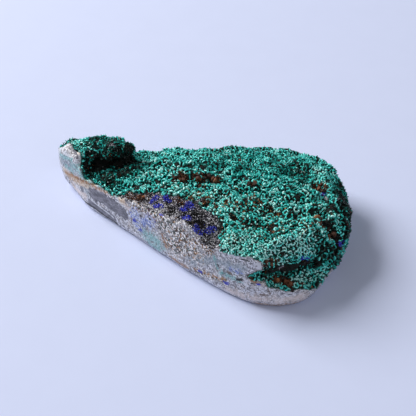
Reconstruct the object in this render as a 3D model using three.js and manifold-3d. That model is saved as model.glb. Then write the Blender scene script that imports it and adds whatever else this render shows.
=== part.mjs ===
// Azurite specimen: one pear-shaped piece of copper ore. Its back and its outline are ground smooth and its
// top is left as it grew, a lumpy crust of malachite druse with azurite. At the narrow tip the crust stands
// up in a block that carries on along the far side as a hood, with a hollow under its lip. At the broad end
// the crust breaks off over a lower ledge, with a fissure behind it, and beside the ledge it rolls down to
// the back. The stone grew in one piece, so it is one closed solid.
// Millimetres, +Z up, long axis on X with the narrow tip at -X, ground back on Z = 0, origin under the
// middle of the stone's box.
import * as THREE from "three";
import { mergeVertices } from "three/addons/utils/BufferGeometryUtils.js";
import Module from "manifold-3d";

const wasm = await Module();
wasm.setup();

// ---- Driving dimensions --------------------------------------------------------------------------------

const CENTRE = [4.3, -0.5]; // the middle of the broad part, where the ground side is measured from
const BLOCK = { along: 58, across: 36, below: 1 }; // the rough piece that the stone is ground from
const FACET = 0.72; // width of the crust's facets
const SIDE_STEPS = 104; // facets round the ground side

// The ground outline at its widest, counterclockwise from the narrow tip.
const OUTLINE = [
  [-26.5, -0.4],
  [-25.4, -1.8],
  [-23.1, -3.1],
  [-18.9, -5.3],
  [-10.7, -8.1],
  [2.3, -12.6],
  [10.3, -14.7],
  [16.3, -15.3],
  [20.9, -13.9],
  [24.4, -10.5],
  [26.1, -4.3],
  [26, 3.0],
  [23.5, 9.2],
  [19.1, 13.6],
  [12.8, 15.4],
  [6.3, 14.2],
  [-3.7, 10.2],
  [-13.7, 6.6],
  [-21.7, 4.0],
  [-25, 1.9],
];

// How far in from the outline the side is at each height: round the stone, at the undercut tip and at the
// broad end, where the crust leans out over the back.
const SIDE = [
  [0, 1.0],
  [0.35, 0.35],
  [1.3, 0],
  [4, 0.15],
  [8, 0.6],
  [12, 1.2],
];
const TIP_SIDE = [
  [0, 2.2],
  [1.3, 1.0],
  [4, 0.3],
  [8, 0.1],
  [12, 0.4],
];
const END_SIDE = [
  [0, 1.8],
  [1.3, 0.9],
  [4, 0.6],
  [6, 0.3],
  [12, 0.8],
];
const TIP = { from: -17, to: -25 }; // along the stone, where the undercut begins and where it is full
const SIDE_LEVELS = [0, 0.35, 1.3, 4, 6, 8, 12]; // heights of the rings that follow these
const SIDE_WAVE = { length: 4, height: 0.12, seed: 9 }; // the grinding left the side a little uneven

// Height of the crust along the stone, before its tilt, swells and clumps.
const CREST = [
  [-26.7, 7.6],
  [-23.7, 8.6],
  [-20.5, 9.0],
  [-19.1, 6.6],
  [-12.2, 6.8],
  [-7.7, 7.8],
  [-1.7, 8.7],
  [6.3, 9.1],
  [14.3, 9.3],
  [26.3, 9.0],
];
const TILT = 0.07; // the crust falls this much per millimetre towards the far side
const ROLL = { width: 3.5, drop: 0.8 }; // and rolls off a little at the ground side

// Swells and dips of the crust: centre, half lengths, turn in degrees, height.
const SWELLS = [
  { at: [13.5, -1.0], half: [3.4, 2.4], turn: 20, up: 0.6 },
  { at: [10.8, 3.0], half: [6.0, 2.6], turn: 30, up: 0.5 },
  { at: [18.3, 9.5], half: [5.0, 3.4], turn: -40, up: 0.5 },
  { at: [19.3, -7.0], half: [5.0, 3.5], turn: 30, up: 0.5 },
  { at: [2.8, -11.5], half: [4.0, 2.0], turn: -18, up: 0.5 },
  { at: [-3.2, 1.0], half: [5.0, 3.4], turn: 20, up: 0.5 },
  { at: [7.9, -13.0], half: [2.4, 3.4], turn: 0, up: -1.1 },
  { at: [13.1, -4.2], half: [2.8, 1.7], turn: 25, up: -1.0 },
  { at: [13.3, -8.6], half: [2.6, 1.3], turn: 15, up: -0.8 },
  { at: [14.3, 8.2], half: [5.4, 1.6], turn: -22, up: -0.8 },
  { at: [5.5, -3.6], half: [3.6, 1.2], turn: 60, up: -0.7 },
  { at: [1.1, 0.6], half: [1.8, 1.2], turn: 10, up: -0.8 },
  { at: [-11.3, 3.6], half: [2.6, 3.6], turn: 20, up: -0.8 },
  { at: [-23.4, -2.6], half: [3.4, 2.2], turn: -30, up: 1.5 },
];

// The broad end's natural face: how high it stands at what distance in from the outline.
const END_FACE = [
  [0, 4.4],
  [0.3, 5.2],
  [1.0, 6.6],
  [2.2, 7.7],
  [4.5, 9.6],
];
// Where such stretches begin, are full, start to end and end, in degrees from +X.
const END_SECTOR = [-28, -18, 28, 48];
const LEAN_SECTOR = [-34, -16, 14, 32];

// The iron-stained crease down the broad end's shoulder.
const CREASE = {
  width: 0.8,
  depth: 1.0,
  line: [
    [18.3, 6.4],
    [20.5, 3.4],
    [21.5, 0.2],
    [22.7, -2.0],
    [25.3, -3.6],
  ],
};

// The lower ledge at the broad end: everything beyond the line where the crust breaks off.
const LEDGE = [
  [17.3, -20],
  [17.4, -13.2],
  [18.5, -12.1],
  [20.2, -11.3],
  [21.8, -9.5],
  [23.7, -6.9],
  [25.3, -4.2],
  [30.3, -2.5],
  [30.3, -20],
];

// Height of the ledge where it meets the ground side, along the stone.
const LEDGE_RIM = [
  [15.3, 4.9],
  [18.3, 4.4],
  [21.3, 4.0],
  [24.3, 2.9],
];
const LEDGE_RISE = 0.2; // its climb per millimetre towards the break
const BREAK_WIDTH = 0.5; // how far the break is from upright
const BREAK_ROUND = { width: 2.6, drop: 1.5, inland: 3 }; // the crust rounds over before it breaks off

// Clumps of druse, as domes that cover the crust, and the slower unevenness under them.
const CLUMP = { spacing: 2.0, radius: 1.35, height: 0.95, smallest: 0.7, stray: 0.8, seed: 3 };
const UNEVEN = { length: 3.2, height: 0.3, seed: 5 };

// Lumps are soft boxes: centre, half lengths, turn in degrees, how boxy they are (2 is an ellipsoid).
const HOOD = { at: [-18.2, 1.6, 6.5], half: [5.2, 3.3, 2.9], turn: 22, boxy: 2.3 };
const HOLLOWS = [
  { at: [-16.9, -0.7, 6.5], half: [3.8, 2.4, 1.2], turn: 22, boxy: 2.4 }, // under the hood's lip
  { at: [-13.4, 2.6, 6.9], half: [1.7, 2.3, 0.7], turn: 22, boxy: 2 }, // and under its end
  { at: [15.9, -14.7, 5.5], half: [1.0, 1.2, 0.4], turn: 0, boxy: 2 }, // the narrow end of the ledge
  { at: [16.8, -14.3, 6.4], half: [1.2, 1.7, 1.2], turn: 0, boxy: 2 }, // and its undercut corner
  { at: [17.2, -11.7, 5.5], half: [2.3, 1.5, 0.65], turn: 0, boxy: 2 }, // the fissure, in four reaches
  { at: [19.5, -11.1, 5.2], half: [2.4, 1.6, 0.75], turn: 30, boxy: 2 },
  { at: [21.6, -9.0, 4.9], half: [2.4, 1.6, 0.65], turn: 50, boxy: 2 },
  { at: [23.6, -6.3, 4.4], half: [2.4, 1.3, 0.55], turn: 58, boxy: 2 },
];
const LUMP_FACET = 0.85; // width of a lump's facets
const SAME_PLACE = 1e-4; // corners closer than this are one

// Colours, and the places where azurite takes over from the malachite.
const MATRIX = 0xb7b4b3;
const MALACHITE_DEEP = 0x0e4a3a;
const MALACHITE_TIP = 0x4fbfa4;
const AZURITE_BLUE = 0x35389a;
const IRON_BROWN = 0x5a3826;
const GROUND_SKIN = 0.2; // this near the ground side the surface still shows matrix
const AZURITE = [
  { at: [-0.9, -7.4], half: [7.2, 3.2], turn: -18 },
  { at: [19.4, 5.9], half: [1.6, 1.2], turn: 0 },
  { at: [21.5, -8.8], half: [2.2, 1.0], turn: 40 },
];

// ---- Numbers -------------------------------------------------------------------------------------------

const degrees = Math.PI / 180;
const mix = THREE.MathUtils.lerp;
const ease = THREE.MathUtils.smoothstep; // ease(x, low, high)

// A repeatable number from 0 to 1 for a cell of a lattice.
function chance(i, j, k, seed) {
  const s = Math.sin(i * 127.1 + j * 311.7 + k * 191.3 + seed * 74.7) * 43758.5453;
  return s - Math.floor(s);
}

// Smooth noise from -1 to 1, with swells about one unit across.
function noise(x, y, z, seed) {
  const [i, j, k] = [x, y, z].map(Math.floor);
  const [u, v, w] = [x - i, y - j, z - k].map((share) => ease(share, 0, 1));
  const row = (b, c) => mix(chance(i, b, c, seed), chance(i + 1, b, c, seed), u);
  const sheet = (c) => mix(row(j, c), row(j + 1, c), v);
  return 2 * mix(sheet(k), sheet(k + 1), w) - 1;
}

// The druse's clumps: domes round jittered lattice points, from 0 between them to 1 on the largest.
function clumps(x, y, z) {
  const { spacing, radius, smallest, stray, seed } = CLUMP;
  const [i, j, k] = [x, y, z].map((value) => Math.floor(value / spacing));
  let top = 0;
  for (let a = i - 1; a <= i + 1; a++)
    for (let b = j - 1; b <= j + 1; b++)
      for (let c = k - 1; c <= k + 1; c++) {
        const off = [0, 1, 2].map((n) => 0.5 + stray * (chance(a, b, c, n) - 0.5));
        const [cx, cy, cz] = [a, b, c].map((cell, n) => (cell + off[n]) * spacing);
        const size = mix(smallest, 1, chance(a, b, c, seed));
        const reach = Math.hypot(x - cx, y - cy, z - cz) / (radius * size);
        top = Math.max(top, size * Math.sqrt(Math.max(0, 1 - reach ** 2)));
      }
  return top;
}

// The value at x of a smooth line through [x, value] points, level beyond its ends.
function along(points, x) {
  const next = points.findIndex(([px]) => px > x);
  if (next < 0) return points.at(-1)[1];
  if (next === 0) return points[0][1];
  const [x0, value0] = points[next - 1];
  const [x1, value1] = points[next];
  return mix(value0, value1, ease(x, x0, x1));
}

function distanceToSegment(x, y, [ax, ay], [bx, by]) {
  const share = ((x - ax) * (bx - ax) + (y - ay) * (by - ay)) / ((bx - ax) ** 2 + (by - ay) ** 2);
  const t = THREE.MathUtils.clamp(share, 0, 1);
  return Math.hypot(x - mix(ax, bx, t), y - mix(ay, by, t));
}

function distanceToLine(x, y, line) {
  return Math.min(...line.slice(1).map((end, i) => distanceToSegment(x, y, line[i], end)));
}

// Distance to a closed polygon's edge, negative outside it.
function depthInside(x, y, polygon) {
  const closed = [...polygon, polygon[0]];
  let inside = false;
  for (let i = 0; i < polygon.length; i++) {
    const [[ax, ay], [bx, by]] = [closed[i], closed[i + 1]];
    if (ay > y !== by > y && x < ax + ((bx - ax) * (y - ay)) / (by - ay)) inside = !inside;
  }
  return (inside ? 1 : -1) * distanceToLine(x, y, closed);
}

// A smooth hill, 1 at its centre and 0 outside its ellipse.
function hill(x, y, { at, half, turn }) {
  const [c, s] = [Math.cos(turn * degrees), Math.sin(turn * degrees)];
  const u = ((x - at[0]) * c + (y - at[1]) * s) / half[0];
  const v = ((y - at[1]) * c - (x - at[0]) * s) / half[1];
  return Math.max(0, 1 - u * u - v * v) ** 1.5;
}

// ---- Solids --------------------------------------------------------------------------------------------

// Moves every vertex of a geometry: move(x, y, z) gives its new place.
function reshape(geometry, move) {
  const position = geometry.attributes.position;
  for (let i = 0; i < position.count; i++)
    position.setXYZ(i, ...move(position.getX(i), position.getY(i), position.getZ(i)));
  return geometry;
}

function solidOf(geometry) {
  geometry.deleteAttribute("normal");
  geometry.deleteAttribute("uv");
  const merged = mergeVertices(geometry, SAME_PLACE);
  const vertProperties = merged.attributes.position.array;
  const triVerts = new Uint32Array(merged.index.array);
  return new wasm.Manifold(new wasm.Mesh({ numProp: 3, vertProperties, triVerts }));
}

function geometryOf(solid) {
  const { vertProperties, triVerts } = solid.getMesh();
  const geometry = new THREE.BufferGeometry();
  geometry.setAttribute("position", new THREE.BufferAttribute(vertProperties, 3));
  return geometry.setIndex(new THREE.BufferAttribute(triVerts, 1));
}

// ---- The crust's height --------------------------------------------------------------------------------

const outline = new THREE.CatmullRomCurve3(
  OUTLINE.map(([x, y]) => new THREE.Vector3(x, y, 0)),
  true,
)
  .getSpacedPoints(SIDE_STEPS)
  .slice(1)
  .map(({ x, y }) => [x, y]);

// How far a place lies within a sector of the broad part, 0 to 1.
function sectorShare(x, y, [from, full, fade, to]) {
  const facing = Math.atan2(y - CENTRE[1], x - CENTRE[0]) / degrees;
  return ease(facing, from, full) * (1 - ease(facing, fade, to));
}

function crustHeight(x, y) {
  const inset = depthInside(x, y, outline);
  const beyondBreak = depthInside(x, y, LEDGE);
  let z = along(CREST, x) - TILT * y - ROLL.drop * (1 - ease(inset, 0, ROLL.width));
  for (const swell of SWELLS) z += swell.up * hill(x, y, swell);
  z = mix(z, Math.min(z, along(END_FACE, inset)), sectorShare(x, y, END_SECTOR));
  z -= CREASE.depth * Math.exp(-((distanceToLine(x, y, CREASE.line) / CREASE.width) ** 2));
  z -= BREAK_ROUND.drop * ease(beyondBreak, -BREAK_ROUND.width, 0) * ease(inset, 0, BREAK_ROUND.inland);
  const ledge = along(LEDGE_RIM, x) + LEDGE_RISE * Math.max(0, inset);
  z = mix(z, Math.min(z, ledge), ease(beyondBreak, -BREAK_WIDTH / 2, BREAK_WIDTH / 2));
  z += UNEVEN.height * noise(x / UNEVEN.length, y / UNEVEN.length, 0, UNEVEN.seed);
  return z + CLUMP.height * (clumps(x, y, z) - 0.5);
}

// ---- The stone -----------------------------------------------------------------------------------------

// The rough piece, its top raised to the crust's height.
function roughPiece() {
  const { along: length, across: width, below } = BLOCK;
  const facets = [length, width].map((side) => Math.round(side / FACET));
  const block = new THREE.BoxGeometry(length, width, 2 * below, ...facets, 1);
  return solidOf(reshape(block, (x, y, z) => [x, y, z > 0 ? crustHeight(x, y) : z]));
}

// How far in from the outline the side is.
function sideInset(x, y, z) {
  const { length, height, seed } = SIDE_WAVE;
  const wave = height * noise(x / length, y / length, z / length, seed);
  const broad = mix(along(SIDE, z), along(END_SIDE, z), sectorShare(x, y, LEAN_SECTOR));
  return mix(along(TIP_SIDE, z), broad + wave, ease(x, TIP.to, TIP.from));
}

// The space inside the ground back and side: a drum whose rings are fitted to the outline.
function groundSpace() {
  const rings = SIDE_LEVELS.map((height) => new THREE.Vector2(1, height));
  const drum = [new THREE.Vector2(0, rings[0].y), ...rings, new THREE.Vector2(0, rings.at(-1).y)];
  return solidOf(
    reshape(new THREE.LatheGeometry(drum, SIDE_STEPS), (across, height, ahead) => {
      const onAxis = across ** 2 + ahead ** 2 < SAME_PLACE;
      if (onAxis) return [...CENTRE, height];
      const turn = Math.atan2(across, ahead) / (2 * Math.PI) + 1;
      const [x, y] = outline[Math.round(turn * SIDE_STEPS) % SIDE_STEPS];
      const share = 1 - sideInset(x, y, height) / Math.hypot(x - CENTRE[0], y - CENTRE[1]);
      return [mix(CENTRE[0], x, share), mix(CENTRE[1], y, share), height];
    }),
  );
}

// A lump, or the space of a hollow, with clumps of druse on it.
function lump({ at, half, turn, boxy }) {
  const detail = Math.round(Math.max(...half) / LUMP_FACET);
  const [c, s] = [Math.cos(turn * degrees), Math.sin(turn * degrees)];
  return solidOf(
    reshape(new THREE.IcosahedronGeometry(1, detail), (x, y, z) => {
      const size = (Math.abs(x) ** boxy + Math.abs(y) ** boxy + Math.abs(z) ** boxy) ** (-1 / boxy);
      const [u, v, w] = [x * half[0] * size, y * half[1] * size, z * half[2] * size];
      const place = [at[0] + u * c - v * s, at[1] + u * s + v * c, at[2] + w];
      const bump = CLUMP.height * (clumps(...place) - 0.5);
      return [place[0] + bump * (x * c - y * s), place[1] + bump * (x * s + y * c), place[2] + bump * z];
    }),
  );
}

function stone() {
  let rough = roughPiece().add(lump(HOOD));
  for (const hollow of HOLLOWS) rough = rough.subtract(lump(hollow));
  const pieces = rough.intersect(groundSpace()).decompose();
  return geometryOf(pieces.sort((a, b) => b.volume() - a.volume())[0]);
}

// ---- The model -----------------------------------------------------------------------------------------

// What the surface shows at a place: ground matrix on the side and back, else druse with what grows in it.
function surfaceColour(x, y, z) {
  const side = depthInside(x, y, outline) - sideInset(x, y, z);
  if (z <= SAME_PLACE || side < GROUND_SKIN) return new THREE.Color(MATRIX);
  if (AZURITE.some((patch) => hill(x, y, patch) > 0)) return new THREE.Color(AZURITE_BLUE);
  if (distanceToLine(x, y, CREASE.line) < CREASE.width) return new THREE.Color(IRON_BROWN);
  return new THREE.Color(MALACHITE_DEEP).lerp(new THREE.Color(MALACHITE_TIP), clumps(x, y, z));
}

const geometry = stone();
const position = geometry.attributes.position;
const colours = [];
for (let i = 0; i < position.count; i++)
  colours.push(...surfaceColour(position.getX(i), position.getY(i), position.getZ(i)).toArray());
geometry.setAttribute("color", new THREE.Float32BufferAttribute(colours, 3));
geometry.computeBoundingBox();
const middle = geometry.boundingBox.getCenter(new THREE.Vector3());
geometry.translate(-middle.x, -middle.y, 0);

const material = new THREE.MeshStandardMaterial({ vertexColors: true, roughness: 0.75, metalness: 0 });
const mesh = new THREE.Mesh(geometry, material);
mesh.name = "stone";
const specimen = new THREE.Group();
specimen.add(mesh);

export default specimen;
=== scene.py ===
"""Azurite specimen: a pear-shaped piece of copper ore, ground smooth round its side and back.

The CAD stone is replaced by a finer skin of the same form. On its natural top stand many small closed
crystals: malachite plates in a net round dark pits, azurite in the bare slope, the fissure and the crease,
iron oxide knobs and crumbs, and quartz grains. Lengths are millimetres until they are written to a mesh.
"""

import itertools
import math
from collections import namedtuple

import bpy
import numpy as np
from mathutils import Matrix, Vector, noise
from mathutils.bvhtree import BVHTree
from mathutils.kdtree import KDTree


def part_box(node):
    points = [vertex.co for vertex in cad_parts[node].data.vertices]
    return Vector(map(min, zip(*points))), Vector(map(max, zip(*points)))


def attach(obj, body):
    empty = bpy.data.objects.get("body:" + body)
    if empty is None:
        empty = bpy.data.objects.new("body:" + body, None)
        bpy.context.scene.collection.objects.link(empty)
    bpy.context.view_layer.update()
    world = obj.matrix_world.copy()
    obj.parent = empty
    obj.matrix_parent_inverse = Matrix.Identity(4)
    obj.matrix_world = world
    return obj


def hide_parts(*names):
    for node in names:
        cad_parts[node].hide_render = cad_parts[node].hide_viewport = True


MM = 0.001
SEED = 7
SEED_STEP = 17.3  # how far along its noise each layer's seed starts
FAR_OUTSIDE = -5.0  # the lowest that reach() gives
OUTSIDE = -2.0  # the lowest of it that is written to the skin

# Layers of noise are (how much, size, seed) each. A mark is (radius, point, point ...): everything within
# the radius of the line through the points. Where marks change something, how much comes before the radius.

# ---- Values: the skin ----

VOXEL = 0.24  # edge of the skin's faces
SAME = 0.001  # what is closer than this is in one place
GIRDLE = 1.3  # height at which the ground side is widest
SIDE_FACING = 0.93  # a CAD face that looks outwards at least this squarely is ground
SIDE_DEPTH, FOOT_DEPTH = 1.6, 3  # and lies no deeper than this behind the girdle, or below it
BACK_FACING, BACK_BELOW = -0.99, 0.01  # the back looks down and lies lower than this
# The crust covers the side too at the blunt end, in degrees from +X. Its far border leans, in degrees a mm.
NATURAL_END = {"centre": (4.3, -0.5), "from": -26, "to": 22, "leans": 5, "above": 2}
RAGGED_END = [(9, 2, 10)]  # degrees
SMOOTHING = {"ground": 30, "crust": 8, "tip": 60}  # rounds
KEEPING_SIZE, FLATTENING = (0.5, -0.52), (0.5,)  # strengths of a round of smoothing
BLUR = {"crust": 2, "rim": 14}  # rounds, from the ground side's border
CLUMPS = [(0.3, 1.9, 16), (0.16, 0.9, 1), (0.1, 0.5, 2)]  # the crust's relief
WORN = [(0.03, 0.8, 3), (0.02, 2.5, 4)]  # and the ground side's
SINK = {"depth": 0.42, "edge": 1.3}  # the crust's skin lies this deep, from this far off the ground side

# The slope between the druse and the ground side, where the malachite has come off, in plan.
BARE = [
    (-12.4, -7.4), (-10.5, -7.1), (-7.7, -6.1), (-6.1, -5.4), (-2.7, -6.2), (0, -5.9), (2.2, -5.8),
    (4.8, -6.6), (6.9, -8), (8.1, -9.9), (9.6, -12.6), (10.4, -14.4), (10.4, -17), (-12.4, -17),
]

# Beside the tip the pale rock reaches up over the edge of the top, in plan.
TIP_FACE = [
    (-27, -0.3), (-24.4, -0.7), (-22.6, -1.3), (-21, -2.2), (-20, -2.9), (-19.6, -4.6), (-19.6, -8),
    (-27, -8),
]
TIP_FACE_ABOVE = 5.0

# The crust hangs over the ground side's upper edge here.
OVERGROWN = [
    (0.7, (10.4, -14, 8.8), (12.4, -14.4, 9.3), (14.6, -14.5, 9.8)),
    (0.7, (6.6, -13.2, 8.3), (8.6, -13.6, 8.4)),
]

# How far the crust swells out on the hood.
SWOLLEN = [
    (0.5, 3.2, (-18.6, 1.2, 9.4), (-15.2, 2, 9.4)),
    (0.5, 1.6, (-14, 1.6, 8.8), (-13.4, 2.8, 8.6)),
]

# Marks on the ground side and the slope; a few are painted shade, a painted shadow and a painted reflection.
STAINS = {
    "cool_and_painted_shade": [
        (3, (-12, 7.2, 3), (-4, 10, 3.4)),
        (1.6, (5, -13, 3.6), (9, -14.2, 5.8), (14, -15, 6.6)),
        # Painted shade on the ground side beside the tip, where the key light falls most.
        (2.6, (-25, -1.6, 6.4), (-21.6, -3.6, 6), (-18, -5.4, 4.6)),
    ],
    "warm": [
        (2.4, (8, 14.6, 2.2), (18, 14.2, 2.6)),
        (1.5, (12, -15, 1.2), (18, -15, 1.8), (23.4, -12, 1.8)),
        (1.1, (-23.6, -2.6, 3.8), (-20.3, -4.4, 4.8), (-17.2, -5.7, 5.8), (-13.4, -6.9, 6.3)),
        (1, (-21.4, -3.6, 2), (-18.5, -5.4, 2.5)),
        (1, (-10.5, -7.6, 6.8), (-8.6, -8.5, 5.8)),
    ],
    "cream": [
        (1.1, (-23.6, -2.6, 3.8), (-21.6, -3.8, 4), (-19, -5, 4.9), (-17.2, -5.7, 5.6)),
        (0.5, (-23, -3, 2.6), (-21.6, -3.8, 1.8)),
        (1, (-8.2, -7.3, 7.5), (-6.9, -8.1, 7.8), (-5.9, -8.2, 7.5)),
        (0.35, (-21.6, -1.2, 8.5), (-20.6, -2.6, 8.8)),
        (0.8, (-10.2, -7.9, 6.4), (-8, -8.4, 6.6)),
    ],
    "speckled": [
        (2, (-6, 9.2, 4.6), (0, 11.6, 5)),
        (1.6, (14, 15.1, 5), (19, 13.6, 5)),
        (3.4, (-0.6, -11.1, 6.9), (3.4, -12.3, 7)),
        (2.2, (0.2, -11.6, 4), (5.5, -13.1, 5.4)),
        (1.2, (-8, -8.6, 6.6), (-4, -10, 7.6), (-1, -10.8, 8.2)),
        (1.5, (5.6, -12.9, 7.4), (8.4, -13.7, 7.4)),
        (0.9, (6, -13.7, 2), (11.5, -14.8, 3)),
    ],
    "turquoise": [
        (1.7, (-4.9, -10, 2.9), (-3.3, -10.5, 2.8), (-1.9, -11.1, 2.4)),
        (0.8, (-4, -10.4, 1.4), (-2.2, -11, 1.3)),
        (0.75, (-24.6, -2.1, 6.9), (-22, -3.5, 7.9)),
        (0.6, (-23.5, -2.7, 5.6), (-22.1, -3.4, 5.6), (-21.4, -3.8, 5.3)),
        (1, (-21.6, -3.7, 6.8), (-19.7, -4.4, 7), (-18.8, -4.9, 6.2), (-17, -5.8, 6.1)),
        (0.45, (-17.4, -5.6, 6.3), (-15.3, -6.3, 6.6), (-14, -6.7, 6.4), (-11.1, -7.4, 6.8)),
        (0.4, (9.1, -14.1, 6.6), (9.9, -14.4, 4.6)),
        (0.75, (10.7, -14.6, 4.2), (12.2, -14.9, 4.3), (13.6, -15.1, 4.2)),
        (1.2, (-12, 7.2, 5.2), (-9, 8.2, 5.6)),
        (0.7, (16, 14.8, 3.6), (20, 13, 4)),
    ],
    "blue_stain": [
        (1.9, (-7.2, -9, 5.2), (-5.9, -9.5, 4.8), (-4, -10.1, 5.8)),
        (0.9, (-7.2, -9.1, 4.1), (-5.8, -9.7, 3)),
        (0.7, (12.2, -14.9, 5.8), (13.8, -15.1, 5.7)),
        (1.3, (-1, 11.1, 3), (1.4, 12.2, 2.6)),
    ],
    "glassy": [
        (1, (3.6, 13.2, 2.2), (6.4, 14.1, 2.6)),
        (0.7, (6.4, 14.1, 2.6), (9.6, 15, 3.2)),
        (1.3, (-16.3, -6.1, 4.3), (-14.1, -6.8, 4.5), (-11.8, -7.5, 4.3)),
        (1.35, (-11.8, -7.5, 4.3), (-9.8, -8.2, 4.1)),
        (0.75, (-17.2, -5.9, 1.9), (-14.2, -6.9, 1.8), (-11.9, -7.6, 1.6)),
        (0.5, (-9, -8.1, 7.1), (-8.2, -8.5, 7.2)),
        (0.45, (-19.3, -4.9, 3.6), (-19.1, -5, 3.3)),
        (0.32, (-21.8, -2, 8.7), (-20.4, -3.6, 8.7)),
    ],
    "white": [
        (0.2, (3, 12.9, 4), (6, 14, 4.4), (9, 14.9, 4.2)),
        (0.2, (-17.4, -5.8, 2.7), (-15.8, -6.4, 2.4), (-13.4, -7.1, 2.1), (-11.9, -7.6, 1.7)),
        (0.07, (-12.6, -7.3, 4.1), (-9.7, -8.1, 5.7), (-8.5, -8.6, 5.2)),
        (0.25, (-25.4, -1.6, 7.7), (-23.4, -2.8, 8.1), (-21.9, -3.3, 8.3)),
        (0.45, (16.6, -14.9, 8.6), (17, -14.7, 7.8)),
        (0.2, (16.8, -15.1, 5), (18, -15, 4.8)),
    ],
    "black_and_painted_shadow": [
        (0.14, (-17, 5.6, 2.1), (-14.6, 6.3, 1.5), (-12, 7.1, 1.8), (-8, 8.5, 1.4)),
        # Painted contact shadow along the near side's bottom edge.
        (
            0.3, (-20.9, -4.2, 1.3), (-19.1, -4.9, 1), (-16.5, -6.2, 1.3), (-14.4, -6.7, 0.9),
            (-11.2, -7.8, 0.7),
        ),
        (0.16, (13.8, -14.7, 8.4), (15.2, -14.8, 8.6)),
        (0.25, (9.8, -14.3, 5.4), (10, -14.3, 5.1)),
        (0.3, (13.4, -15.1, 4.3), (14.3, -15.1, 4.6)),
        (0.2, (15.8, -15.2, 4.5), (16.3, -15.2, 4.6)),
        (0.45, (-6.3, -7.7, 7.7), (-5.2, -7.6, 8.4)),
        (0.25, (-5.9, -9.5, 5.9), (-5.7, -9.5, 5.8)),
        (0.25, (-3.9, -10.1, 6.4), (-3.7, -10.1, 6.4)),
    ],
    "brown": [
        (0.35, (11.6, -14.8, 4.9), (12.3, -14.8, 4.8)),
        (0.5, (17.6, -13.8, 7.6), (16.9, -14.5, 7)),
        (0.3, (16.5, -14.9, 7.1), (15.8, -15, 6.1), (14.9, -15.1, 5.6)),
        (0.2, (18.4, -14.9, 4), (18.8, -14.8, 3.1)),
        (0.22, (17.4, -15.2, 2.7), (18.5, -14.9, 2.7)),
        (0.6, (-7.2, -7.3, 7.9), (-6.3, -6.1, 7.7)),
        (0.3, (-22.2, -3.2, 4.8), (-20.3, -4.4, 5), (-17.2, -5.7, 5.9)),
    ],
    "rust_and_painted_reflection": [
        (
            0.42, (-23.6, -2.6, 3.8), (-20.3, -4.4, 5), (-17.2, -5.7, 5.9), (-15.1, -6.4, 6),
            (-13.4, -6.9, 6.3),
        ),
        (0.3, (-22.9, -3, 3.2), (-21.4, -3.8, 2)),
        (0.25, (5.4, -13.5, 2.1), (8.5, -14.3, 2.5), (10.6, -14.7, 3), (11.2, -14.8, 3)),
        (0.4, (16, -15.2, 5), (18.4, -15.3, 4.7), (20.9, -14.5, 4.5), (22.5, -13.8, 4), (23.5, -12.8, 3.2)),
        (0.4, (0.5, -11.9, 1.3), (4.2, -13.2, 1.4)),
        (0.35, (-1.2, -11.1, 4.9), (-0.4, -11.5, 2.9)),
        # Painted reflection along the bottom edge where the blunt end meets the floor.
        (0.7, (17, -15.2, 0.4), (19.6, -14.5, 0.3), (22.6, -12.8, 0.3)),
        (0.26, (-20.4, 4.4, 3.4), (-17, 5.5, 4.5), (-14, 6.4, 4.3), (-8, 8.4, 4.9)),
        (0.3, (10, 15, 5.2), (12.6, 15.2, 6), (15, 15.1, 5.9)),
    ],
    "blue_speck": [
        (0.3, (6.4, -13.7, 2.1), (6.9, -13.9, 2.3)),
        (0.3, (11.3, -14.8, 2.6), (11.8, -15, 2.7)),
        (0.18, (16.8, -15.1, 4.6), (17.2, -15.1, 4.6)),
        (0.4, (-1.4, -10.4, 8.6), (-0.6, -9.8, 8.7)),
        (0.35, (-7.4, -9.1, 4.1), (-6.9, -9.2, 4.2)),
        (0.3, (-6, -9.7, 3), (-5.6, -9.7, 3.1)),
    ],
}

# ---- Values: what grows where ----

# Gaps in the malachite where grains show, and how pale they are.
CLEARINGS = [
    (1, 0.7, (16.6, -14.8, 8.4), (17.3, -14.4, 7.8)),
    (0.6, 0.6, (17.3, -13.9, 7.5), (18, -13.2, 7.2)),
    (0.5, 0.35, (19.2, -11.9, 6.5), (20.2, -11.3, 6.9), (21.1, -10.5, 7), (21.7, -9.8, 6.6)),
    (0.9, 0.4, (17, -15, 5), (17.7, -14.6, 5)),
    (0.55, 0.28, (21.6, 7.6, 7.4), (22.6, 4.7, 8.1)),
    (0.8, 0.4, (20.4, 4.9, 8), (20.6, 4.4, 8)),
    (0.95, 0.4, (-9.9, -3.8, 7.2), (-9.9, -3.5, 7.2)),
    (0.9, 0.3, (-10.4, -2.4, 6.9), (-10.2, -2.4, 6.9)),
    (0.9, 0.35, (-19.2, 1.2, 8.9), (-19, 1.2, 8.9)),
    (0.6, 0.3, (-16.4, 0.9, 9.4), (-15.8, 1, 9.4)),
    (0.7, 0.45, (2.2, -5.4, 8.8), (3.6, -5.3, 9.2)),
]

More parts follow.
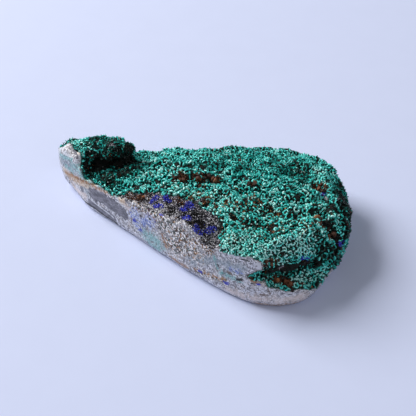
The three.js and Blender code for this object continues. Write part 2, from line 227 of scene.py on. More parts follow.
# Iron oxide among the druse: crumbs, and smooth knobs each about 1 mm across.
IRON = [
    (1.1, (-3.4, -1.4, 8.6), (-2.3, -1, 8.6)),
    (1.1, (0, 0.3, 8.5), (2.6, 0.9, 8.2)),
    (0.5, (-0.4, -1.7, 8.4), (2, -1.8, 8.7)),
    (0.6, (8.6, 1.4, 9.4), (8.9, 1.5, 9.5)),
    (0.7, (2.4, -5.4, 9.2), (4, -5.2, 9.3)),
    (0.7, (-7.6, -6.9, 7.6), (-6.3, -6.2, 7.8)),
    (0.7, (-9, -7.2, 7.3), (-7.2, -7.4, 7.7), (-5.6, -7.6, 8.1)),
    (0.8, (-0.7, -6.6, 9.2), (0.6, -7, 9.2)),
    (0.9, (18, 6.3, 7.8), (20, 6.1, 8.2)),
    (0.4, (21.6, 1.8, 8.3), (21.7, 1.2, 8.3)),
    (0.6, (21.8, -2, 8.6), (23.1, -2.4, 7.4), (24.6, -3, 6.1)),
    (0.75, (17.7, -12.9, 7.8), (18.6, -12.2, 7.3)),
    (0.8, (18.9, -12.7, 4.3), (21.1, -12.4, 4)),
    (0.6, (22.4, -11.6, 3.7), (22.9, -10.6, 3.5)),
    (0.5, (15.1, -3.8, 8.8), (15.2, -3.4, 8.7)),
    (0.5, (5.6, -3.4, 9.2), (6, -2.6, 9.2)),
]
KNOBS = [
    (-3.3, -1.5, 8.5), (-2.5, -1, 8.5), (0.2, 0.2, 8.4), (1.2, 0.7, 8.1), (2.4, 0.8, 8.1), (8.7, 1.4, 9.3),
    (18.6, 6.3, 7.8), (19.9, 6.3, 8.1), (21.8, -1.9, 8.6), (22.5, -2, 8), (23.3, -2.3, 7.2),
    (24.1, -2.8, 6.5), (17.5, -13.2, 7.5), (18.1, -12.5, 7.5), (19, -12.7, 4.2), (20.2, -12.3, 4),
    (21.1, -12.6, 3.9), (-6.9, -6.7, 7.7),
]

# Azurite in the bare slope, the fissure and the crease.
AZURITE = [
    (0.6, (-4.5, -8, 8.3), (-4.3, -6.6, 8.5), (-3, -6.6, 8.9), (-1.9, -7, 8.6)),
    (0.54, (-3.8, -8.5, 8.2), (-2.1, -9, 9)),
    (0.9, (1.4, -8.2, 9.2), (1.6, -7.4, 9.1), (2, -6.9, 9)),
    (0.66, (2.2, -10, 9.1), (3.2, -10.5, 9.4)),
    (0.78, (5.2, -12, 9.3), (5.9, -12.3, 8.8)),
    (0.66, (6.9, -11.4, 8.9), (7.5, -10.9, 9.2)),
    (0.42, (5.9, -10.6, 9.7), (6, -10.4, 9.7)),
    (0.6, (19.6, 5.3, 7.9), (19.9, 5.7, 8)),
    (0.52, (21.9, -9.3, 6.7), (22.6, -8.4, 6.3)),
    (0.48, (25.6, -2.5, 5.7), (25.8, -2, 5.5)),
    (0.42, (21.4, -12.4, 4.2), (21.6, -12.3, 4.2)),
]

# Hollows too tight for the druse: under the hood, in the fissure and down the crease.
RECESSES = [
    (1.2, (-18.9, -2.2, 6.6), (-18.2, -0.6, 5.8)),
    (1.3, (-18.2, 0.2, 5.6), (-16.4, 1.6, 5.6), (-14.6, 2.4, 6.2)),
    (0.75, (17.6, -12.6, 5.9), (19.5, -11.8, 5.9), (21, -10.6, 6), (22.4, -8.8, 5.4), (23.5, -6.7, 4.4)),
    (0.25, (18.6, 6.6, 7.4), (20.6, 4.6, 7.8), (22.2, 2.3, 8.2), (22.4, 0.6, 8.2), (22.5, -1.1, 8)),
    (0.36, (22.5, -1.1, 8.2), (24.1, -1.6, 7), (24.9, -2.4, 6), (25.8, -2.8, 5.1)),
]

# How pale the bare slope is: towards the ground side it is nearly white.
SLOPE_TONES = [
    (0.4, 1.3, (-9, -7.6, 7.2), (-6.4, -8.2, 7.8), (-3.9, -9, 8.1), (-1.5, -10.3, 8.6), (2.4, -11.6, 9.4)),
    (-0.4, 0.6, (-6.3, -7.7, 7.7), (-5.2, -7.6, 8.4)),
    (-0.3, 0.9, (-0.7, -6.4, 9.2), (0.6, -6.9, 9.2)),
    (-0.42, 1.4, (2.1, -8.7, 9.3), (4.1, -8.6, 9.3), (5.6, -11.1, 9.7), (4, -11.2, 9.9)),
    (0.04, 1.5, (5.9, -12.5, 8.8), (8.5, -12.3, 8.1), (8.2, -13.5, 8)),
    (0.2, 1, (-3.4, -7.4, 8.6), (-2.4, -8.2, 8.9)),
]

# How much darker or brighter the malachite is than elsewhere: partly its own tone, and partly painted shade
# in the hollow under the hood, the fissure, the crease and on the blunt end, with painted light on the lit
# rim beside the tip and on the lower slope.
TONES_AND_PAINTED_LIGHT = [
    # Painted shade in and round the hollow under the hood: its floor, the hood's front, top and right side.
    (-1, 1.9, (-19, -2.4, 6.7), (-18.4, -0.8, 6.2)),
    (-1, 2, (-18.2, 0.2, 6), (-16.4, 1.4, 6.2), (-14.4, 2.2, 6.6)),
    (-0.35, 1, (-18.6, -1.4, 7.4), (-16.4, -0.8, 7.4), (-14.4, 0.4, 7.3)),
    (-0.45, 3, (-19, 0, 9), (-15, 1.6, 9.1)),
    (-0.3, 1.3, (-13.4, 1.6, 8.8), (-13, 3.2, 8)),
    (-0.36, 3, (-18, -4, 6.4), (-14.6, -3.4, 6.8), (-12.6, 0.2, 7)),
    # Painted shade in and beside the fissure, and down the crease.
    (-0.8, 0.9, (19.5, -11.8, 5.8), (21, -10.6, 6), (22.4, -8.8, 5.4), (23.5, -6.7, 4.4)),
    (-0.3, 1, (21.2, -10.2, 7.3), (22.4, -8.5, 6.6), (23.8, -6.7, 5.3)),
    (-0.5, 0.5, (21, 4.8, 8.1), (22.2, 2.3, 8.5), (22.4, 0.6, 8.5)),
    (-0.8, 0.6, (22.5, -1.1, 8.4), (24.1, -1.5, 7.1), (24.9, -2.3, 6.2), (25.8, -2.7, 5.3)),
    # Painted shade on the blunt end, which faces away from the key light.
    (-0.6, 2.5, (21.8, 7.6, 7.2), (23.8, 4.9, 7.2), (25.1, 3.7, 6.5), (26, 1.1, 5.4)),
    (-0.5, 2, (24.1, -5.1, 6.7), (25.3, -4.3, 4.5), (25.6, -2.7, 1.9)),
    (-0.3, 2.6, (26.2, 3, 3.5), (24.8, 8.5, 4.6)),
    (-0.4, 2, (21.6, 10.4, 6.2), (23.8, 7.4, 5.6)),
    (-0.22, 1.3, (12.9, -7.3, 9.6), (14.9, -7.4, 9.1), (16.7, -8.2, 9.6)),
    (-0.22, 0.9, (16.1, -9.6, 9.7), (15.1, -11, 9.7)),
    (-0.5, 0.7, (15.7, -1.3, 9.1), (15.9, -1.1, 9.1)),
    (-0.5, 0.6, (-0.4, -1.7, 8.3), (2, -1.9, 8.6)),
    (-0.5, 0.7, (2, -5, 9), (4.4, -6.2, 9.3)),
    (-0.1, 3.6, (-13, -3, 6.8), (-12.5, 4, 7)),
    (0.07, 4, (-9, -3, 7), (-4, 1, 8)),
    (-0.12, 3, (1, 3.6, 8), (4.6, 4.4, 8.1)),
    (-0.25, 1.3, (23.9, -6.8, 5.6), (24.4, -5.6, 6.4), (25.1, -4.2, 5.4)),
    (-0.1, 4, (6.2, 7.3, 8), (12.4, 6.9, 8.1), (15.4, 6.5, 8.4)),
    (-0.3, 2, (13.3, 10.2, 8), (12.8, 8, 8.4), (15.4, 7.4, 8.4), (15.6, 8.8, 8.1)),
    # Painted highlight on the lit rim beside the tip.
    (0.35, 0.5, (-21.3, -1.3, 8.6), (-20.2, -2.3, 8.8), (-19.8, -2.8, 8), (-19.4, -2.8, 7.2)),
    (0.15, 1.3, (-24.3, 1, 7.8), (-21.7, -0.3, 8.5)),
    (0.35, 1.2, (14, -1.6, 9.2), (14.4, -1.4, 9.1)),
    (0.2, 0.9, (11.1, 0, 8.9), (11.3, 0, 8.9)),
    (0.35, 0.8, (10.4, -12.8, 9.7), (10.8, -12.8, 9.7)),
    # Painted light on the lower slope towards the blunt end.
    (0.34, 3.4, (12.4, -13, 9.6), (18.2, -11.8, 8.4), (20.2, -10.6, 8.5), (21.8, -8.5, 8.4), (23.2, -5.2, 7)),
    (0.18, 2.2, (17.2, 9.1, 8.7), (19.1, 8, 8.9), (20.6, 8, 8)),
    (0.2, 1, (24.5, -1.1, 7.3), (25.4, 0.1, 6.5)),
    (0.28, 1.6, (21.8, -12.2, 4.1), (22.5, -9.9, 3.6), (24.4, -7.1, 3.2)),
    (0.1, 4.5, (0, -3, 8.8), (8, -6, 9.4)),
]

# Where the pits are stained by iron more often.
FLECKED = [
    (3, (14.5, -9, 9.5), (18, -7, 9.8), (20, -3, 9.3)),
    (2, (15.5, -14.9, 5.1), (19, -14, 4.8)),
    (4, (8, -3, 9.4), (9, -8, 9.4), (10.5, -11, 9.5)),
    (2.5, (13, -2.5, 9), (16, -4, 9)),
    (2, (-3, -3.5, 8.8), (4, -4, 9.2)),
]
# The druse is finer, lower and green down to its roots on the far side of the top, from and to along Y,
# and in a few patches, each with its share.
FAR, FAR_EDGE = (2.5, 6.5), [(1.2, 3, 15)]
SOFT_PATCHES = [
    (1, 2.6, (-23, 0.6, 8.4), (-15, 1.6, 9.2)),
    (1, 3.6, (12.6, -12.8, 9.7), (18.5, -10.8, 9.4), (21.3, -9, 8.4)),
    (0.6, 2, (19, -13.6, 4.4), (22.4, -10, 3.6), (24, -7.6, 3.4)),
    (0.7, 3, (-18, -4, 6.4), (-13.4, -1.5, 7)),
]

# From and to how deep in its marks each thing sets in, 0 at a mark's edge and 1 on its line.
DEPTHS = {
    "swollen": (0, 0.8), "recess": (0, 0.5), "azurite": (0, 0.4), "iron": (-0.1, 0.5), "soft": (0, 0.4),
    "tone_and_painted_light": (0, 0.6), "slope tone": (0, 0.7), "clearing": (-0.6, 0.1), "flecked": (0, 0.5),
    "unstained": (0, 0.3),
}
# Where malachite gives way: how much of it and to what marks.
GIVES_WAY = [(0.85, IRON, "iron"), (0.97, AZURITE, "azurite"), (0.97, RECESSES, "recess")]
# Malachite is missing all over: at least this share of it, and more in the gaps between swells.
GAPS = {"least": 0.12, "more": 0.75, "swells": (1.2, 21), "limits": (0.15, 0.5)}
GROWS_FROM = 0.72  # crystals grow where this much of the skin is crust
BARE_EDGE, BARE_FADE = [(0.35, 0.9, 5)], 0.2  # how ragged and how wide the bare slope's border is
SPOT_EDGE, SPOT_FADE = [(0.35, 0.7, 8)], 0.25  # and the borders of other minerals
SLOPE_DARK, SLOPE_CLOUDS = 0.42, [(0.12, 1.2, 9)]  # the slope's tone before its marks
# These clouds are the malachite's own tone at random; the painted light comes from the marks.
SHADE_CLOUDS = [(0.16, 3, 6), (0.4, 0.8, 14)]  # the malachite's shade before its marks
NO_GRAINS_IN_BLUE = 0.85  # share of the quartz grains that azurite takes the place of

# ---- Values: crystals ----

# Closed crystals along +Z: corners as (across, through, along) and triangles.
WEDGE = {
    "corners": [(-0.4, -0.5, 0), (0.4, -0.5, 0), (0.4, 0.5, 0), (-0.4, 0.5, 0), (-0.3, 0, 1), (0.3, 0, 0.92)],
    "faces": [(0, 2, 1), (0, 3, 2), (0, 1, 5), (0, 5, 4), (2, 3, 4), (2, 4, 5), (1, 2, 5), (3, 0, 4)],
}
SPINDLE = {
    "corners": [(0, 0, 0), (-0.5, 0, 0.5), (0, -0.5, 0.45), (0.5, 0, 0.55), (0, 0.5, 0.5), (0, 0, 1)],
    "faces": [(0, 2, 1), (0, 3, 2), (0, 4, 3), (0, 1, 4), (5, 1, 2), (5, 2, 3), (5, 3, 4), (5, 4, 1)],
}
# A plate's outline through its thickness, and the height of its crest along it.
PLATE_RIB = [(-0.5, 0), (0.5, 0), (0.4, 1), (-0.4, 1)]
PLATE_CREST = [(-0.5, 0.76), (-0.16, 1), (0.18, 0.94), (0.5, 0.7)]
KNOB_RINGS, KNOB_SIDES = 4, 8

ROOT = 0.3  # share of a crystal's length that is in the skin
BOW, CRUMPLE = 0.07, 0.018  # how far a crystal's sides and corners stray
LOWEST = 0.05  # and how high above the floor they stay
UV_MARGIN = 0.02

# How far crystals lean, their widths, thicknesses and lengths from and to, and the most there are.
Habit = namedtuple("Habit", "lean sizes most", defaults=[None])
BLADES = Habit(0.3, [(0.14, 0.24), (0.1, 0.15), (0.4, 0.66)], 9000)
PITS = Habit(0.4, [(0.2, 0.32), (0.14, 0.2), (0.2, 0.3)], 14000)
AZURITES = Habit(0.6, [(0.18, 0.3), (0.12, 0.2), (0.3, 0.55)], 4000)
CRUMBS = Habit(0.6, [(0.2, 0.36), (0.18, 0.3), (0.22, 0.42)], 3500)
GRAINS = Habit(0.6, [(0.2, 0.46), (0.18, 0.36), (0.24, 0.5)], 7000)
LUMPS = Habit(0.4, [(0.5, 1.2), (0.4, 0.8), (0.6, 1.1)])
KNOBS_EACH, KNOB_SPREAD, KNOB_CRUMPLE, KNOB_TINTS = 3, 0.3, 0.06, (0.2, 0.8)
TRIES = 60000  # places looked at for each mineral that keeps to its marks
FINER_WHERE_PALE = 0.4  # of the slope's grains

# The malachite stands on edge in a net round small pits, each so far from the next as "pit" says.
NET = {
    "crust": 0.6, "pit": 0.59, "varies": [(0.4, 2.4, 7)], "softer": 0.2,
    "shortest": 0.13, "overlap": 0.08, "piece": 6000,
}
PLATES = {"thick": (0.14, 0.25), "height": (0.44, 0.74), "lean": 0.18}
# What softness does to the druse, as shares and shifts of tint; lift pales the painted root shade.
SOFT = {"lower": 0.5, "calmer": 0.5, "paler": 0.02, "lift": 0.35, "greener": 0.56, "less stained": 0.75}
# Pit crumbs stained by iron: how often, how much longer than the others, and their tints.
STAINED = {"often": 0.03, "swells": [(0.1, 2, 12)], "flecked": 0.5, "longer": 2, "tints": (0.86, 1)}
GREENEST = 0.8  # the highest tint of a crumb that isn't stained

# Each kind's tint along its colour ramps: the mean, and how far single crystals stray.
PLATE_TINT, BLADE_TINT, PIT_TINT = (0.66, 0.2), (0.5, 0.22), (0.24, 0.24)
SPOT_TINT, GRAIN_TINT = (0.5, 0.22), (-0.06, 0.5)
SPOT_CLOUDS = [(0.2, 0.8, 18)]

# ---- Values: colours, as sRGB of 0 to 255 ----

# Crystals run from a root ramp of painted shade to a tip ramp whose palest end is painted highlight.
MALACHITE = {
    "shaded_roots": [(0, (2, 8, 7)), (0.5, (4, 48, 40)), (0.75, (14, 102, 90)), (1, (44, 164, 150))],
    "tips": [
        (0, (2, 26, 22)), (0.2, (6, 90, 80)), (0.42, (28, 184, 172)), (0.64, (84, 230, 222)),
        (0.84, (130, 250, 240)), (1, (196, 254, 248)),
    ],
}
PIT_MALACHITE = {
    "shaded_roots": [
        (0, (2, 7, 6)), (0.4, (3, 20, 17)), (0.8, (16, 110, 98)), (0.86, (60, 26, 12)), (1, (150, 90, 48)),
    ],
    "tips": [
        (0, (3, 10, 9)), (0.4, (4, 34, 29)), (0.8, (54, 176, 162)), (0.86, (98, 44, 26)),
        (0.94, (138, 74, 46)), (1, (228, 180, 124)),
    ],
}
AZURITE_BLUE = {
    "shaded_roots": [(0, (12, 10, 60)), (1, (34, 32, 150))],
    "tips": [(0, (30, 28, 120)), (0.5, (62, 66, 226)), (1, (140, 160, 250))],
}
LIMONITE = {
    "shaded_roots": [(0, (8, 7, 6)), (1, (62, 36, 24))],
    "tips": [(0, (14, 12, 12)), (0.4, (58, 34, 24)), (0.7, (126, 78, 52)), (1, (214, 150, 96))],
}
QUARTZ_GRAIN = {
    "shaded_roots": [(0, (12, 11, 15)), (1, (104, 102, 112))],
    "tips": [(0, (8, 8, 12)), (0.42, (46, 44, 54)), (0.6, (148, 146, 160)), (1, (244, 244, 248))],
}
QUARTZ = [(0.3, (172, 172, 182)), (0.5, (192, 193, 204)), (0.7, (188, 183, 185))]
SPECKLES = [
    (0, (14, 12, 12)), (0.16, (92, 56, 36)), (0.28, (178, 140, 98)), (0.42, (222, 220, 224)),
    (0.6, (252, 250, 250)), (0.74, (130, 134, 138)), (0.9, (34, 58, 46)),
]
BLUES = [
    (0, (28, 30, 84)), (0.1, (50, 70, 168)), (0.34, (104, 130, 202)), (0.6, (162, 180, 226)),
    (0.8, (236, 240, 252)), (1, (104, 118, 152)),
]
SLOPE = [
    (0, (8, 8, 10)), (0.3, (34, 31, 37)), (0.5, (88, 84, 92)), (0.75, (166, 163, 170)), (1, (228, 228, 232)),
]

# ---- Values: stage ----

# Turns are round the stone from its near side, tilts up from the floor, both in degrees.
CAMERA = {"turn": 24, "tilt": 41, "distance": 190, "at": (2.44, -1.36, 4), "lens": 100, "sensor": 36}
CLIP = 10  # the camera sees nothing nearer
KEY = {"turn": 262, "tilt": 35, "distance": 700, "size": 380, "power": 6.75, "colour": (255, 254, 254)}
FILL = {"turn": 50, "tilt": 42, "distance": 420, "size": 300, "power": 0.3, "colour": (244, 246, 255)}
WORLD = {"colour": (244, 244, 246), "strength": 0.22}
FLOOR = {"half": 1500, "grain": 6, "colours": [(206, 214, 240), (209, 217, 243)]}


# ---- Numbers ----


def linear(rgb):
    """An sRGB colour of 0 to 255 as linear light, with alpha."""
    shares = [value / 255 for value in rgb]
    return (*(c / 12.92 if c <= 0.04045 else ((c + 0.055) / 1.055) ** 2.4 for c in shares), 1.0)


def unit(vectors):
    return vectors / np.maximum(np.linalg.norm(vectors, axis=1, keepdims=True), 1e-9)


def areas(corners):
    """Each triangle's normal, as long as twice its area."""
    return np.cross(corners[:, 1] - corners[:, 0], corners[:, 2] - corners[:, 0])


def swells(points, size, seed):
    """Smooth noise from about -1 to 1 at each point, its swells about one size across."""
    return np.array([noise.noise(place) for place in (points / size + SEED_STEP * seed).tolist()])


def layered(points, layers):
    """Swells of several sizes, one on another: each layer is how much, what size and a seed."""
    return sum(much * swells(points, size, seed) for much, size, seed in layers)


def ease(values, low, high):
    """0 below low, 1 above high and a smooth rise between."""
    share = np.clip((values - low) / (high - low), 0, 1)
    return share * share * (3 - 2 * share)


def off_line(points, start, way):
    """Each point's distance to a straight line that leads from its start along its way."""
    share = np.clip((points - start) @ way / (way @ way), 0, 1)
    return np.linalg.norm(points - start - share[:, None] * way, axis=1)


def reach(points, marks):
    """How deep each point lies in a mark: 1 on its line, 0 at its edge, less outside."""
    best = np.full(len(points), FAR_OUTSIDE)
    for radius, *line in marks:
        for start, way in zip(np.array(line), np.diff(line, axis=0)):
            best = np.maximum(best, 1 - off_line(points, start, way) / radius)
    return best


def within(points, marks, depths):
    """How far each point is within the marks, 0 to 1, by the named depths."""
    return ease(reach(points, marks), *DEPTHS[depths])


def added(points, changes, depths):
    """The sum of every mark's change, each as far as a point is within its mark."""
    total = np.zeros(len(points))
    for change, *mark in changes:
        total += change * within(points, [mark], depths)
    return total


def nearest_edge(points, polygon):
    """Distance in plan to a closed polygon's nearest edge, and that edge's outward direction."""
    starts = np.array(polygon)
    best = np.full(len(points), np.inf)
    outward = np.zeros((len(points), 2))
    for start, way in zip(starts, np.roll(starts, -1, axis=0) - starts):
        distance = off_line(points[:, :2], start, way)
        closer = distance < best
        best[closer] = distance[closer]
        outward[closer] = np.array([way[1], -way[0]]) / np.linalg.norm(way)
    return best, outward


def inside(points, polygon):
    """Distance in plan to a closed polygon's edge, negative outside it."""
    corners = np.array(polygon)
    x, y = points[:, 0], points[:, 1]
    enclosed = np.zeros(len(points), bool)
    for (ax, ay), (bx, by) in zip(corners, np.roll(corners, -1, axis=0)):
        crosses = (ay > y) != (by > y)
        enclosed ^= crosses & (x < ax + (bx - ax) * (y - ay) / (by - ay if by != ay else 1))
    return np.where(enclosed, 1, -1) * nearest_edge(points, polygon)[0]


def group_means(values, groups):
    """The mean row of each group of rows."""
    counts = np.bincount(groups)
    total = np.zeros((len(counts), *values.shape[1:]))
    np.add.at(total, groups, values)
    return (total.T / counts).T


def rows(items, name):
    """A place or direction of each of a mesh's items."""
    flat = np.zeros(3 * len(items), np.float32)
    items.foreach_get(name, flat)
    return flat.reshape(-1, 3).astype(float)


# ---- What grows where ----


def bareness(points):
    """Where the malachite has come off, 0 to 1."""
    edge = np.maximum(inside(points, BARE), reach(points, [mark for _, *mark in CLEARINGS]))
    return ease(edge + layered(points, BARE_EDGE), -BARE_FADE, BARE_FADE)


def slope_tone(points):
    """How pale the bare rock's grains are at each point, 0 to 1."""
    tone = SLOPE_DARK + layered(points, SLOPE_CLOUDS) + added(points, SLOPE_TONES, "slope tone")
    clearings = [(pale - SLOPE_DARK, *mark) for pale, *mark in CLEARINGS]
    return np.clip(tone + added(points, clearings, "clearing"), 0, 1)


def tone_and_painted_light(points):
    """How much darker or brighter the malachite is: its own tone, painted shade and painted light."""
    return layered(points, SHADE_CLOUDS) + added(points, TONES_AND_PAINTED_LIGHT, "tone_and_painted_light")


def softness(points):
    """Where the druse is finer, lower and greener, 0 to 1."""
    far = ease(points[:, 1] + layered(points, FAR_EDGE), *FAR)
    return np.clip(far + added(points, SOFT_PATCHES, "soft"), 0, 1)


def malachite_at(points, bare, random):
    """Which of the places malachite grows on."""
    gaps = ease(swells(points, *GAPS["swells"]), *GAPS["limits"]) * (1 - softness(points))
    gone = [bare, GAPS["least"] + GAPS["more"] * gaps]
    gone += [share * within(points, marks, depths) for share, marks, depths in GIVES_WAY]
    return random.random(len(points)) > np.maximum.reduce(gone)


# ---- The skin ----


def add_object(name, data):
    thing = bpy.data.objects.new(name, data)
    bpy.context.scene.collection.objects.link(thing)
    return thing


def triangles_of(mesh):
    """The three corners' numbers for each triangle."""
    mesh.calc_loop_triangles()
    return np.array([triangle.vertices for triangle in mesh.loop_triangles])


def welded(mesh):
    """A mesh's points in millimetres and its triangles, with the points that coincide joined."""
    places, joined = np.unique(np.round(rows(mesh.vertices, "co") / MM, 4), axis=0, return_inverse=True)
    return places, joined.ravel()[triangles_of(mesh)]


def fine_mesh(cad):
    """An even mesh of the CAD stone's form."""
    draft = add_object("draft", cad.data.copy())
    weld = draft.modifiers.new("weld", "WELD")
    weld.merge_threshold = SAME * MM
    remesh = draft.modifiers.new("remesh", "REMESH")
    remesh.mode = "VOXEL"
    remesh.voxel_size = VOXEL * MM
    graph = bpy.context.evaluated_depsgraph_get()
    mesh = bpy.data.meshes.new_from_object(draft.evaluated_get(graph))
    bpy.data.objects.remove(draft)
    return mesh


def turns_of(points):
    """Each point's turn in plan from +X round the broad end's middle, in radians."""
    x, y = (points[:, :2] - NATURAL_END["centre"]).T
    return np.arctan2(y, x)


def ground_faces(places, triangles):
    """Which CAD faces are ground: the back, and what looks squarely outwards along the outline."""
    corners = places[triangles]
    normals = unit(areas(corners))
    middles = corners.mean(axis=1)
    height = middles[:, 2]
    ring = places[np.abs(places[:, 2] - GIRDLE) < SAME]
    outline = ring[np.argsort(turns_of(ring)), :2]
    facing = (normals[:, :2] * nearest_edge(middles, outline)[1]).sum(axis=1)
    depth = np.abs(inside(middles, outline))
    turns = np.degrees(turns_of(middles)) + layered(middles, RAGGED_END)
    last = NATURAL_END["to"] + NATURAL_END["leans"] * height
    natural = (turns > NATURAL_END["from"]) & (turns < last) & (height > NATURAL_END["above"])
    side = (facing > SIDE_FACING) & (depth < SIDE_DEPTH) & ~natural
    foot = (height < GIRDLE) & (depth < FOOT_DEPTH)
    back = (normals[:, 2] < BACK_FACING) & (height < BACK_BELOW)
    return side | foot | back


class Skin:
    """The stone's fine skin as arrays: points, edges and what each point is made of."""

    def __init__(self, cad):
        self.mesh = fine_mesh(cad)
        self.points = rows(self.mesh.vertices, "co") / MM
        self.edges = np.array(self.mesh.edge_keys)
        self.links = np.bincount(self.edges.ravel(), minlength=len(self.points))
        places, triangles = welded(cad.data)
        tree = BVHTree.FromPolygons(places.tolist(), triangles.tolist())
        nearest = [tree.find_nearest(place)[2] for place in self.points.tolist()]
        tip_face = (inside(self.points, TIP_FACE) > 0) & (self.points[:, 2] > TIP_FACE_ABOVE)
        overgrown = reach(self.points, OVERGROWN) > 0
        self.ground = ((ground_faces(places, triangles)[nearest] | tip_face) & ~overgrown).astype(float)
        self.tip_face = tip_face.astype(float)
        self.back = self.points[:, 2] < 0.5 * VOXEL

    def spread(self, values):
        """Each point's mean of its neighbours' values."""
        first, second = self.edges.T
        total = np.zeros_like(values)
        np.add.at(total, first, values[second])
        np.add.at(total, second, values[first])
        return (total.T / self.links).T

    def blurred(self, values, rounds):
        for _ in range(round(rounds)):
            values = 0.5 * values + 0.5 * self.spread(values)
        return values

    def smooth(self, share, rounds, strengths):
        """Evens the points out by each one's share, at each strength in turn."""
        for strength in rounds * strengths:
            step = self.spread(self.points) - self.points
            self.points = self.points + strength * share[:, None] * step

    def normals(self):
        """The normals at the points, after the mesh has taken them over."""
        self.mesh.vertices.foreach_set("co", (self.points * MM).ravel())
        self.mesh.update()
        return rows(self.mesh.vertex_normals, "vector")


def make_skin(cad):
    """The ground side is evened out, and the crust is lowered and roughened."""
    skin = Skin(cad)
    skin.smooth(skin.ground, SMOOTHING["ground"], KEEPING_SIZE)
    skin.smooth(1 - skin.ground, SMOOTHING["crust"], KEEPING_SIZE)
    skin.smooth(skin.tip_face, SMOOTHING["tip"], FLATTENING)
    skin.crust = 1 - skin.blurred(skin.ground, BLUR["crust"])
    skin.rim = 1 - skin.blurred(skin.ground, BLUR["rim"])
    inland = ease(1 - skin.blurred(skin.ground, (SINK["edge"] / VOXEL) ** 2), 0.5, 1)
    inland *= 1 - within(skin.points, RECESSES, "recess")
    rough = layered(skin.points, CLUMPS) + added(skin.points, SWOLLEN, "swollen")
    worn = layered(skin.points, WORN)
    move = skin.crust * rough - SINK["depth"] * inland + (1 - skin.crust) * worn
    skin.points = skin.points + move[:, None] * skin.normals()
    skin.points[skin.back, 2] = 0
    skin.points[:, 2] = np.maximum(skin.points[:, 2], 0)
    skin.bare = bareness(skin.points)
    return skin


# ---- Shaders ----


class Shader:
    """A material, with short calls for its nodes."""

    def __init__(self, name, roughness, specular=0.5):
        self.material = bpy.data.materials.new(name)
        self.material.use_nodes = True
        self.tree = self.material.node_tree
        self.surface = self.tree.nodes["Principled BSDF"]
        self.surface.inputs["Roughness"].default_value = roughness
        self.surface.inputs["Specular IOR Level"].default_value = specular

    def node(self, kind, inputs, **settings):
        node = self.tree.nodes.new(kind)
        for name, value in settings.items():
            setattr(node, name, value)
        for name, value in inputs.items():
            if isinstance(value, bpy.types.NodeSocket):
                self.tree.links.new(value, node.inputs[name])
            else:
                node.inputs[name].default_value = value
        return node

    def attribute(self, name):
        return self.node("ShaderNodeAttribute", {}, attribute_name=name).outputs["Fac"]

    def place(self):
        return self.node("ShaderNodeTexCoord", {}).outputs["Object"]

    def grain(self, size, detail=3.0, roughness=0.55, shift=0.0, stretch=(1, 1, 1)):
        """Noise from 0 to 1 whose grains are about the given size in millimetres."""
        moved = {"Vector": self.place(), "Scale": stretch, "Location": (shift, shift, shift)}
        place = self.node("ShaderNodeMapping", moved).outputs[0]
        inputs = {"Vector": place, "Scale": 1 / (size * MM), "Detail": detail, "Roughness": roughness}
        return self.node("ShaderNodeTexNoise", inputs).outputs["Fac"]

    def cells(self, size):
        """A red and a green value from 0 to 1 in each of many irregular cells of the given size."""
        inputs = {"Vector": self.place(), "Scale": 1 / (size * MM)}
        colour = self.node("ShaderNodeTexVoronoi", inputs).outputs["Color"]
        parts = self.node("ShaderNodeSeparateColor", {"Color": colour})
        return parts.outputs["Red"], parts.outputs["Green"]

    def maths(self, first, operation, second):
        return self.node("ShaderNodeMath", {0: first, 1: second}, operation=operation).outputs[0]

    def about_zero(self, noise, scale=1.0):
        """Noise of 0 to 1 as values on both sides of 0."""
        return self.maths(self.maths(noise, "SUBTRACT", 0.5), "MULTIPLY", scale)

    def between(self, value, low, high, to_low=0.0, to_high=1.0):
        inputs = {"Value": value, "From Min": low, "From Max": high, "To Min": to_low, "To Max": to_high}
        return self.node("ShaderNodeMapRange", inputs, interpolation_type="SMOOTHSTEP").outputs["Result"]

    def ramp(self, value, stops):
        node = self.node("ShaderNodeValToRGB", {"Fac": value})
        elements = node.color_ramp.elements
        while len(elements) < len(stops):
            elements.new(1.0)
        for element, (position, rgb) in zip(elements, stops):
            element.position = position
            element.color = linear(rgb)
        return node.outputs["Color"]

    def mix(self, share, first, second):
        first, second = (linear(part) if isinstance(part, tuple) else part for part in (first, second))
        return self.node("ShaderNodeMix", {0: share, 6: first, 7: second}, data_type="RGBA").outputs[2]

    def veil(self, colour, tint, value, low, high, most=1.0):
        """A tint over a colour, from none at low to its most at high."""
        return self.mix(self.between(value, low, high, 0, most), colour, tint)

    def stained(self, colour, stains):
        """Tints over marks: name, tint, the border's width, noise that moves it, how far, and the most."""
        for name, tint, edge, noise, far, most in stains:
            field = self.maths(self.attribute(name), "ADD", self.about_zero(noise, far))
            colour = self.veil(colour, tint, field, 0, edge, most)
        return colour

    def finish(self, colour, **inputs):
        for name, value in {"Base Color": colour, **inputs}.items():
            self.tree.links.new(value, self.surface.inputs[name])
        return self.material


def quartz_colour(shader, fine, mottled):
    """Ground quartz: grey with pale and dark grains, thin layers and tan clouds."""
    layers = shader.grain(0.6, 3, 0.6, 12, (1, 1, 2.8))
    clouds = shader.grain(1.3, 3, 0.6, 9)
    colour = shader.ramp(shader.grain(2.6), QUARTZ)
    for veil in (
        ((244, 245, 252), fine, 0.5, 0.56, 1),
        ((66, 64, 70), fine, 0.485, 0.4, 0.95),
        ((222, 224, 234), mottled, 0.5, 0.6, 0.7),
        ((98, 96, 102), mottled, 0.49, 0.4, 0.8),
        ((206, 208, 218), layers, 0.56, 0.7, 0.5),
        ((162, 138, 118), clouds, 0.56, 0.72, 0.45),
    ):
        colour = shader.veil(colour, *veil)
    return colour


